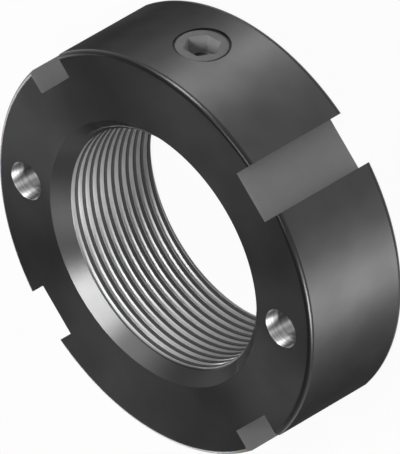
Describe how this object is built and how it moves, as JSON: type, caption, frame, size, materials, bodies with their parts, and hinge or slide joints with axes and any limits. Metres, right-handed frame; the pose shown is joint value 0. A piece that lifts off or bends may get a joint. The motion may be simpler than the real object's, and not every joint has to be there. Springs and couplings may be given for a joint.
{
  "type": "bearing lock nut",
  "caption": "Ring nut that holds a bearing on a threaded shaft: slots round its rim, pin holes in its face, and a radial set screw that clamps a brass peg onto the thread.",
  "frame": {"origin": "on the nut's axis, in the plane of its bearing face, on which it lies", "axes": "+Z along the nut's axis, out of the chamfered front face with the pin holes; +Y outwards along the set screw; the two pin holes lie on X"},
  "size_m": [0.065, 0.065, 0.0194],
  "materials": {
    "blackened_steel": "turned and blackened steel, satin",
    "screw_steel": "blackened alloy steel, satin, a little lighter than the nut",
    "brass": "machined brass"
  },
  "bodies": {
    "nut": {"nut_body": "blackened_steel"},
    "peg": {"locking_peg": "brass"},
    "screw": {"set_screw": "screw_steel"}
  },
  "joints": [
    {"name": "peg_slide", "type": "slide", "parent": "nut", "child": "peg", "axis": [0, 1, 0], "range_m": [-0.00025, 0.00125]},
    {"name": "screw_turn", "type": "hinge", "parent": "peg", "child": "screw", "pos_m": [0, 0.02825, 0.0092], "axis": [0, 1, 0], "range_deg": [-72, 360]}
  ],
  "couplings": [
    {"joint": "screw_turn", "follows": "peg_slide", "rad_per_m": 5026.5}
  ]
}
